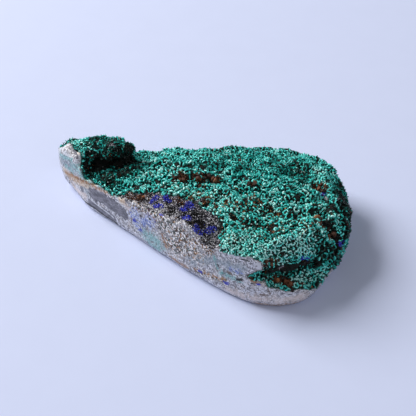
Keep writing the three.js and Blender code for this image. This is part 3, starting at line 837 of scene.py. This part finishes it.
def crust_colour(shader, chance, ragged):
    """The rock under the druse, nearly black with a green rim, and the bare slope's grains."""
    tone = shader.maths(shader.attribute("tone"), "ADD", shader.about_zero(chance))
    slope = shader.ramp(tone, SLOPE)
    slope = shader.veil(slope, (66, 44, 30), shader.grain(1.4, 3, 0.6, 11), 0.54, 0.64, 0.7)
    deep = shader.mix(shader.between(ragged, 0.45, 0.6), (4, 20, 16), (18, 12, 9))
    deep = shader.mix(shader.between(shader.attribute("rim"), 0.5, 0.8), (34, 116, 104), deep)
    return shader.mix(shader.attribute("bare"), deep, slope)


def stone_material():
    """Ground quartz with stains, some painted shade and reflection, and the crust bare of crystals."""
    shader = Shader("stone_rock", 0.6)
    fine = shader.grain(0.26, 4, 0.75)
    mottled = shader.grain(0.46, 4, 0.65, 6)
    ragged = shader.grain(0.9, 4, 0.6, 3)
    chance, second = shader.cells(0.25)
    streaks = shader.between(shader.grain(1.0, 4, 0.6, 5, (1, 1, 2.5)), 0.38, 0.66)
    glass = shader.mix(streaks, (90, 90, 100), (142, 141, 152))
    cream = shader.mix(shader.between(mottled, 0.4, 0.6), (170, 140, 112), (224, 214, 204))
    rust_and_painted_reflection = shader.mix(shader.between(fine, 0.4, 0.62), (112, 70, 42), (190, 142, 92))
    teal = shader.mix(shader.between(fine, 0.4, 0.62), (84, 160, 158), (176, 206, 214))

    colour = shader.stained(quartz_colour(shader, fine, mottled), [
        # The cool stain is partly painted shade beside the tip.
        ("cool_and_painted_shade", (124, 144, 158), 1.0, ragged, 2.0, 0.6),
        ("warm", (228, 214, 210), 1.0, ragged, 2.4, 0.75),
    ])
    border = shader.maths(shader.attribute("rim"), "ADD", shader.about_zero(mottled, 1.1))
    colour = shader.veil(colour, crust_colour(shader, chance, ragged), border, 0.38, 0.62)
    colour = shader.stained(colour, [
        ("cream", cream, 0.6, mottled, 3.0, 1.0),
        ("speckled", shader.ramp(chance, SPECKLES), 0.8, mottled, 4.6, 1.0),
        ("turquoise", teal, 0.9, mottled, 4.5, 0.85),
        ("blue_stain", shader.ramp(chance, BLUES), 0.9, mottled, 4.0, 0.85),
        ("glassy", glass, 0.15, ragged, 1.5, 1.0),
        ("white", (210, 212, 220), 0.4, mottled, 1.6, 1.0),
        ("brown", (98, 74, 60), 0.6, mottled, 4.2, 0.85),
        # The rust stain is partly a painted reflection along the bottom edge.
        ("rust_and_painted_reflection", rust_and_painted_reflection, 0.9, mottled, 6.5, 0.85),
        # The black stain is partly a painted contact shadow along the bottom edge.
        ("black_and_painted_shadow", (44, 44, 46), 0.4, mottled, 2.4, 1.0),
        ("blue_speck", (58, 66, 182), 0.4, mottled, 5.5, 1.0),
    ])

    shine = shader.between(shader.attribute("glassy"), 0.0, 0.4, 0.56, 0.28)
    roughness = shader.maths(shader.between(shader.attribute("crust"), 0.4, 0.6, 0, 0.35), "ADD", shine)
    height = shader.maths(fine, "ADD", shader.maths(second, "MULTIPLY", 0.3))
    bump = shader.node("ShaderNodeBump", {"Height": height, "Strength": 0.7, "Distance": 0.06 * MM})
    return shader.finish(colour, Roughness=roughness, Normal=bump.outputs["Normal"])


def crystal_material(name, colours, roughness, specular=0.3, fade=(0.2, 0.85)):
    """Dark root as painted shade, pale tip as painted highlight; tint picks the crystal's own colour."""
    shader = Shader(name, roughness, specular)
    tint, tip = shader.attribute("tint"), shader.attribute("tip")
    shaded_roots, tips = shader.ramp(tint, colours["shaded_roots"]), shader.ramp(tint, colours["tips"])
    return shader.finish(shader.mix(shader.between(tip, *fade), shaded_roots, tips))


# ---- Pieces ----


def add_piece(mesh, name, material):
    mesh.materials.clear()
    mesh.materials.append(material)
    piece = add_object(name, mesh)
    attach(piece, "root")
    return piece


def set_attribute(mesh, name, values):
    attribute = mesh.attributes.new(name, "FLOAT", "POINT")
    attribute.data.foreach_set("value", values.astype(np.float32))


def add_stone(skin):
    """The fine skin in place of the CAD stone."""
    mesh = skin.mesh
    skin.normals()
    mesh.polygons.foreach_set("use_smooth", np.ones(len(mesh.polygons), bool))
    fields = {name: np.maximum(reach(skin.points, marks), OUTSIDE) for name, marks in STAINS.items()}
    fields |= {"crust": skin.crust, "rim": skin.rim, "bare": skin.bare, "tone": slope_tone(skin.points)}
    for name, values in fields.items():
        set_attribute(mesh, name, values)
    stone = add_piece(mesh, "stone_body", stone_material())
    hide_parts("stone")


class Places:
    """Random places on the skin's crust."""

    def __init__(self, skin, random):
        self.random = random
        triangles = triangles_of(skin.mesh)
        self.triangles = triangles[skin.crust[triangles].mean(axis=1) > GROWS_FROM]
        self.corners = skin.points[self.triangles]
        area = np.linalg.norm(areas(self.corners), axis=1)
        self.share = np.cumsum(area) / area.sum()
        self.normals = skin.normals()
        self.bare = skin.bare

    def pick(self, count):
        """Points, normals and how bare the crust is there."""
        chosen = np.searchsorted(self.share, self.random.random(count))
        first, second = self.random.random((2, count))
        flip = first + second > 1
        first, second = np.where(flip, 1 - first, first), np.where(flip, 1 - second, second)
        weights = np.stack([1 - first - second, first, second], axis=1)
        points = (self.corners[chosen] * weights[:, :, None]).sum(axis=1)
        normals = unit((self.normals[self.triangles[chosen]] * weights[:, :, None]).sum(axis=1))
        return points, normals, (self.bare[self.triangles[chosen]] * weights).sum(axis=1)


def scattered(points, normals, habit, tints, random):
    """Crystals at the points, turned at random and sized by their habit."""
    count = len(points)
    return {
        "points": points,
        "axes": normals + habit.lean * random.normal(size=(count, 3)),
        "across": random.normal(size=(count, 3)),
        "sizes": np.stack([random.uniform(*limits, count) for limits in habit.sizes], axis=1),
        "tints": tints,
        "lift": np.zeros(count),
    }


def standing(corners, crystals, crumple, random):
    """The corners of each crystal where it stands: bowed, crumpled, and with its root in the skin."""
    axes, across, sizes = unit(crystals["axes"]), crystals["across"], crystals["sizes"]
    across = unit(across - (across * axes).sum(axis=1, keepdims=True) * axes)
    scaled = corners[None] * sizes[:, None, :]
    scaled[:, :, 1] += BOW * random.normal(size=(len(axes), 1)) * (1 - 4 * corners[None, :, 0] ** 2)
    scaled[:, :, 2] -= ROOT * sizes[:, 2:]
    points = crystals["points"][:, None] + crumple * random.normal(size=scaled.shape)
    for part, way in enumerate((across, np.cross(axes, across), axes)):
        points += scaled[:, :, part : part + 1] * way[:, None]
    points[:, :, 2] = np.maximum(points[:, :, 2], LOWEST)
    return points


def add_crystals(name, kind, crystals, random, crumple=CRUMPLE):
    """One piece of closed crystals of one kind: its shape, material and slot, which is not used."""
    shape, material, slot = kind
    corners, faces = np.array(shape["corners"], float), np.array(shape["faces"])
    points = standing(corners, crystals, crumple, random)
    count = len(points)
    triangles = (faces[None] + len(corners) * np.arange(count)[:, None, None]).reshape(-1, 3)
    mesh = bpy.data.meshes.new(name)
    mesh.from_pydata((points.reshape(-1, 3) * MM).tolist(), [], triangles.tolist())
    tips = np.clip(np.tile(corners[:, 2], count) + np.repeat(crystals["lift"], len(corners)), 0, 1)
    tints = np.clip(np.repeat(crystals["tints"], len(corners)), 0, 1)
    set_attribute(mesh, "tint", tints)
    set_attribute(mesh, "tip", tips)
    bake = mesh.uv_layers.new(name="OFBake")
    both = UV_MARGIN + (1 - 2 * UV_MARGIN) * np.stack([tints, tips], axis=1)[triangles.ravel()]
    bake.data.foreach_set("uv", both.astype(np.float32).ravel())
    add_piece(mesh, name, material)


def bands(rings, sides, first=0):
    """Triangles between rings of corners, one ring after the other."""
    faces = []
    for start in range(first, first + (rings - 1) * sides, sides):
        for side in range(sides):
            a, b = start + side, start + (side + 1) % sides
            faces += [(a, a + sides, b + sides), (a, b + sides, b)]
    return faces


def plate_shape():
    """A thin plate that stands on edge."""
    corners = [(x, y, z * crest) for x, crest in PLATE_CREST for y, z in PLATE_RIB]
    ribs, sides = len(PLATE_CREST), len(PLATE_RIB)
    faces = bands(ribs, sides)
    last = (ribs - 1) * sides
    for side in range(1, sides - 1):
        faces += [(0, side, side + 1), (last, last + side + 1, last + side)]
    return {"corners": corners, "faces": faces}


def knob_shape():
    """A rounded lump."""
    corners = [(0, 0, 0)]
    for ring in range(1, KNOB_RINGS + 1):
        fall = math.pi * ring / (KNOB_RINGS + 1)
        for side in range(KNOB_SIDES):
            turn = math.tau * side / KNOB_SIDES
            wide = 0.5 * math.sin(fall)
            corners.append((wide * math.cos(turn), wide * math.sin(turn), 0.5 - 0.5 * math.cos(fall)))
    corners.append((0, 0, 1))
    top = len(corners) - 1
    faces = [face[::-1] for face in bands(KNOB_RINGS, KNOB_SIDES, 1)]
    for side in range(KNOB_SIDES):
        after = (side + 1) % KNOB_SIDES
        faces += [(0, 1 + after, 1 + side), (top, top - KNOB_SIDES + side, top - KNOB_SIDES + after)]
    return {"corners": corners, "faces": faces}


def pit_middles(places):
    """Places on the crust that keep their distance from one another."""
    points = places.pick(TRIES)[0]
    apart = NET["pit"] * (1 + layered(points, NET["varies"])) * (1 - NET["softer"] * softness(points))
    taken = {}
    for point, gap in zip(points.tolist(), apart.tolist()):
        cell = tuple(math.floor(value / NET["pit"]) for value in point)
        around = itertools.product(*((step - 1, step, step + 1) for step in cell))
        if all(math.dist(point, other) > gap for near in around for other in taken.get(near, ())):
            taken.setdefault(cell, []).append(point)
    return np.array([point for cell in taken.values() for point in cell])


def nearest_pits(skin, middles):
    """The pit that each point of the crust belongs to, and -1 off the crust."""
    tree = KDTree(len(middles))
    for number, middle in enumerate(middles.tolist()):
        tree.insert(middle, number)
    tree.balance()
    crust = skin.crust > NET["crust"]
    pits = np.full(len(skin.points), -1)
    pits[crust] = [tree.find(point)[1] for point in skin.points[crust].tolist()]
    return pits


def crossings(skin, middles):
    """Where the skin's edges lead from pit to pit: points, normals, and a number for the two pits."""
    pits = nearest_pits(skin, middles)
    ends = skin.edges.T
    ends = ends[:, (pits[ends[0]] != pits[ends[1]]) & (pits[ends] >= 0).all(axis=0)]
    low, high = np.sort(pits[ends], axis=0)

    def nearer(end):
        to_low, to_high = (((skin.points[end] - middles[pit]) ** 2).sum(axis=1) for pit in (low, high))
        return to_low - to_high

    first, second = nearer(ends[0]), nearer(ends[1])
    share = np.clip(first / (first - second), 0, 1)[:, None]
    normals = skin.normals()[ends].sum(axis=0)
    points = skin.points[ends[0]] * (1 - share) + skin.points[ends[1]] * share
    return points, normals, np.unique(low * len(middles) + high, return_inverse=True)[1]


def net_edges(skin, middles):
    """The lines between neighbouring pits: each one's middle, direction, length and normal."""
    points, upward, line = crossings(skin, middles)
    middle = group_means(points, line)
    off = points - middle[line]
    ways = np.linalg.eigh(group_means(off[:, :, None] * off[:, None, :], line))[1][:, :, 2]
    along = (off * ways[line]).sum(axis=1)
    ends = np.zeros((2, len(middle)))
    np.minimum.at(ends[0], line, along)
    np.maximum.at(ends[1], line, along)
    middle += 0.5 * ends.sum(axis=0)[:, None] * ways
    return middle, ways, ends[1] - ends[0], unit(group_means(upward, line))


def add_plates(skin, random, places, material):
    """Plates along the net's lines, from the tip to the blunt end, in pieces that don't get too large."""
    points, ways, lengths, normals = net_edges(skin, pit_middles(places))
    keep = malachite_at(points, bareness(points), random) & (lengths > NET["shortest"])
    points, ways, lengths, normals = points[keep], ways[keep], lengths[keep], normals[keep]
    count = len(points)
    thick, height = random.uniform(*PLATES["thick"], count), random.uniform(*PLATES["height"], count)
    soft = softness(points)
    mean, stray = PLATE_TINT
    stray = stray * (1 - SOFT["calmer"] * soft)
    plates = {
        "points": points,
        "axes": normals + PLATES["lean"] * random.normal(size=(count, 3)),
        "across": ways,
        "sizes": np.stack([lengths + NET["overlap"], thick, height * (1 - SOFT["lower"] * soft)], axis=1),
        "tints": mean + SOFT["paler"] * soft + tone_and_painted_light(points) + stray * random.normal(size=count),
        "lift": SOFT["lift"] * soft,
    }
    order = np.argsort(points[:, 0])
    kind = (plate_shape(), material, "malachite")
    for number, chosen in enumerate(np.array_split(order, math.ceil(count / NET["piece"]))):
        add_crystals(f"druse_net_{number}", kind, {key: part[chosen] for key, part in plates.items()}, random)


def tinted(tint, shift, random):
    """A tint for each crystal: its kind's mean, moved by its shift and at random."""
    mean, stray = tint
    return mean + shift + stray * random.normal(size=len(shift))


def add_blades(places, random, material):
    """Thin blades that stand among the plates."""
    points, normals, bare = places.pick(BLADES.most)
    keep = malachite_at(points, bare, random)
    points, normals = points[keep], normals[keep]
    blades = scattered(points, normals, BLADES, tinted(BLADE_TINT, tone_and_painted_light(points), random), random)
    add_crystals("druse_blades", (WEDGE, material, "malachite"), blades, random)


def add_pits(places, random):
    """Small crumbs that cover the rock between the plates: dark, some green, some stained by iron."""
    material = crystal_material("pit_malachite", PIT_MALACHITE, 0.6)
    points, normals, bare = places.pick(PITS.most)
    points, normals = points[bare < 0.5], normals[bare < 0.5]
    soft = softness(points)
    chance = STAINED["often"] + layered(points, STAINED["swells"])
    chance += STAINED["flecked"] * within(points, FLECKED, "flecked")
    chance *= (1 - SOFT["less stained"] * soft) * (1 - within(points, RECESSES, "unstained"))
    stained = random.random(len(points)) < chance
    green = tinted(PIT_TINT, tone_and_painted_light(points) + SOFT["greener"] * soft, random)
    brown = random.uniform(*STAINED["tints"], len(points))
    tints = np.where(stained, brown, np.clip(green, 0, GREENEST))
    crumbs = scattered(points, normals, PITS, tints, random)
    crumbs["sizes"][stained, 2] *= STAINED["longer"]
    add_crystals("druse_pits", (SPINDLE, material, "malachite"), crumbs, random)


def add_spots(name, kind, places, marks, habit, random):
    """Crystals of another mineral, thick in its marks and ragged at their edges."""
    points, normals, _ = places.pick(TRIES)
    keep = reach(points, marks) + layered(points, SPOT_EDGE) > SPOT_FADE * random.random(TRIES)
    points, normals = points[keep][: habit.most], normals[keep][: habit.most]
    tints = tinted(SPOT_TINT, layered(points, SPOT_CLOUDS), random)
    add_crystals(name, kind, scattered(points, normals, habit, tints, random), random)


def add_slope_grains(places, random):
    """Quartz grains where the malachite has come off."""
    points, normals, bare = places.pick(TRIES)
    blue = within(points, AZURITE, "azurite")
    keep = (bare > 0.5) & (random.random(TRIES) > NO_GRAINS_IN_BLUE * blue)
    points, normals = points[keep][: GRAINS.most], normals[keep][: GRAINS.most]
    tone = slope_tone(points)
    grains = scattered(points, normals, GRAINS, tinted(GRAIN_TINT, tone, random), random)
    grains["sizes"] *= 1 - FINER_WHERE_PALE * tone[:, None]
    kind = (SPINDLE, crystal_material("quartz_grain", QUARTZ_GRAIN, 0.4), "matrix")
    add_crystals("slope_grains", kind, grains, random)


def add_knobs(skin, random, material):
    """Smooth lumps of iron oxide, each on the skin's nearest point."""
    points = np.repeat(np.array(KNOBS), KNOBS_EACH, axis=0)
    points += KNOB_SPREAD * random.normal(size=points.shape)
    near = [int(np.argmin(((skin.points - point) ** 2).sum(axis=1))) for point in points]
    tints = random.uniform(*KNOB_TINTS, len(points))
    knobs = scattered(skin.points[near], skin.normals()[near], LUMPS, tints, random)
    add_crystals("iron_knobs", (knob_shape(), material, "limonite"), knobs, random, KNOB_CRUMPLE)


# ---- Stage ----


def add_looking(name, data, view, target=(0, 0, 0)):
    """A camera or light that looks at its target."""
    turn, tilt = math.radians(view["turn"]), math.radians(view["tilt"])
    back = Vector((math.sin(turn) * math.cos(tilt), -math.cos(turn) * math.cos(tilt), math.sin(tilt)))
    thing = add_object(name, data)
    thing.location = (Vector(target) + back * view["distance"]) * MM
    thing.rotation_euler = back.to_track_quat("Z", "Y").to_euler()
    return thing


def add_camera():
    data = bpy.data.cameras.new("camera")
    data.lens = CAMERA["lens"]
    data.sensor_width = CAMERA["sensor"]
    data.clip_start = CLIP * MM
    bpy.context.scene.camera = add_looking("camera", data, CAMERA, CAMERA["at"])


def add_light(name, light):
    """A square soft light."""
    data = bpy.data.lights.new(name, "AREA")
    data.size = light["size"] * MM
    data.energy = light["power"]
    data.color = linear(light["colour"])[:3]
    add_looking(name, data, light)


def add_floor(height):
    half = FLOOR["half"] * MM
    mesh = bpy.data.meshes.new("floor")
    corners = [(-half, -half, height), (half, -half, height), (half, half, height), (-half, half, height)]
    mesh.from_pydata(corners, [], [(0, 1, 2, 3)])
    shader = Shader("floor_paper", 0.9, 0.1)
    mesh.materials.append(shader.finish(shader.mix(shader.grain(FLOOR["grain"], 2), *FLOOR["colours"])))
    floor = add_object("floor", mesh)


def add_studio():
    """A pale world, a large soft key light and a weak fill."""
    world = bpy.data.worlds.new("studio")
    world.use_nodes = True
    backdrop = world.node_tree.nodes["Background"]
    backdrop.inputs["Color"].default_value = linear(WORLD["colour"])
    backdrop.inputs["Strength"].default_value = WORLD["strength"]
    bpy.context.scene.world = world
    add_light("key", KEY)
    add_light("fill", FILL)
    bpy.context.scene.view_settings.view_transform = "Standard"


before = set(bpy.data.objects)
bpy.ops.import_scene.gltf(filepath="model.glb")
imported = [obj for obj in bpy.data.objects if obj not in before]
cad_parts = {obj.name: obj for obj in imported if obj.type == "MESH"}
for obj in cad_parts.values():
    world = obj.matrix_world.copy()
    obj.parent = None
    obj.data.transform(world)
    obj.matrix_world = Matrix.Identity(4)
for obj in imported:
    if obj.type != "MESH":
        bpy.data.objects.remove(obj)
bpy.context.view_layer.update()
add_camera()
add_floor(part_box("stone")[0].z)
add_studio()

random = np.random.default_rng(SEED)
skin = make_skin(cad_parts["stone"])
add_stone(skin)
places = Places(skin, random)
malachite = crystal_material("malachite", MALACHITE, 0.32, specular=0.45, fade=(0.42, 0.84))
azurite = crystal_material("azurite_blue", AZURITE_BLUE, 0.35, specular=0.5)
limonite = crystal_material("iron_oxide", LIMONITE, 0.6)
add_plates(skin, random, places, malachite)
add_blades(places, random, malachite)
add_pits(places, random)
add_spots("azurite_crystals", (SPINDLE, azurite, "azurite"), places, AZURITE, AZURITES, random)
add_spots("iron_crumbs", (WEDGE, limonite, "limonite"), places, IRON, CRUMBS, random)
add_slope_grains(places, random)
add_knobs(skin, random, limonite)
